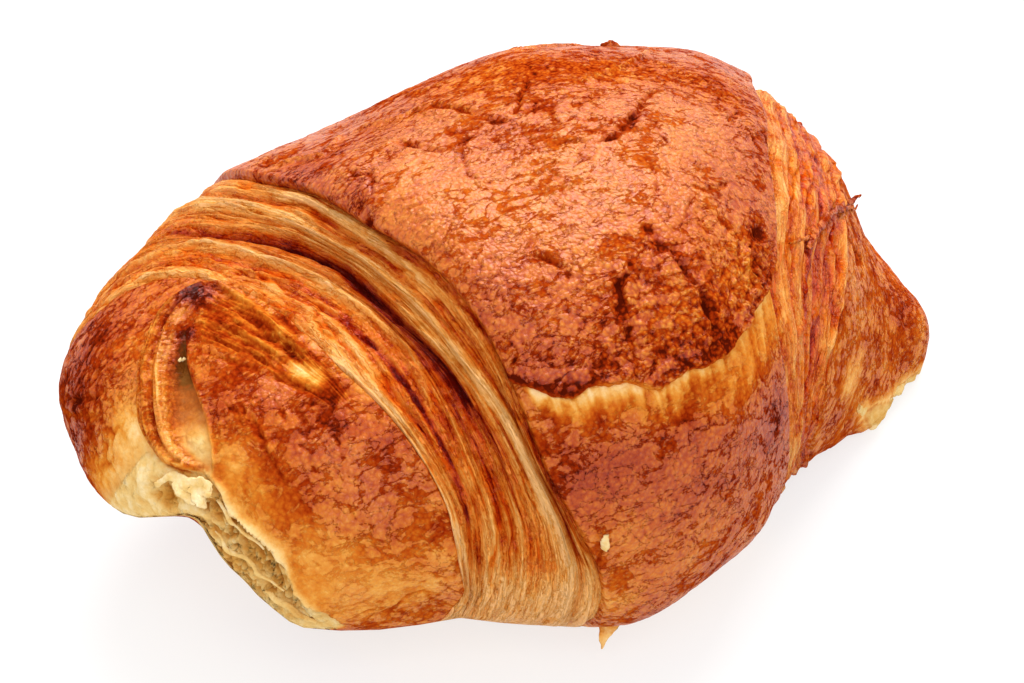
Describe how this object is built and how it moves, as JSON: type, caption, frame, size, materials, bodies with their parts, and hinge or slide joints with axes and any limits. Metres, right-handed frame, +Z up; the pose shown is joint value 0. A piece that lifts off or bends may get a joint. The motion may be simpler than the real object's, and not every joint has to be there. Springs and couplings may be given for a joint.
{
  "type": "butter croissant",
  "caption": "Baked butter croissant with rolled flaky wraps, a torn near end and a small far horn.",
  "frame": {"origin": "middle of the bounding box at the height of the base", "axes": "+X from the torn end to the far horn, -Y to the front that the picture shows, +Z up"},
  "size_m": [0.1461, 0.0962, 0.0653],
  "materials": {
    "crust": "baked laminated dough: glossy red-brown egg-washed crust, golden layer edges, pale yellow torn crumb"
  },
  "bodies": {
    "root": {"croissant": "crust"}
  },
  "joints": []
}
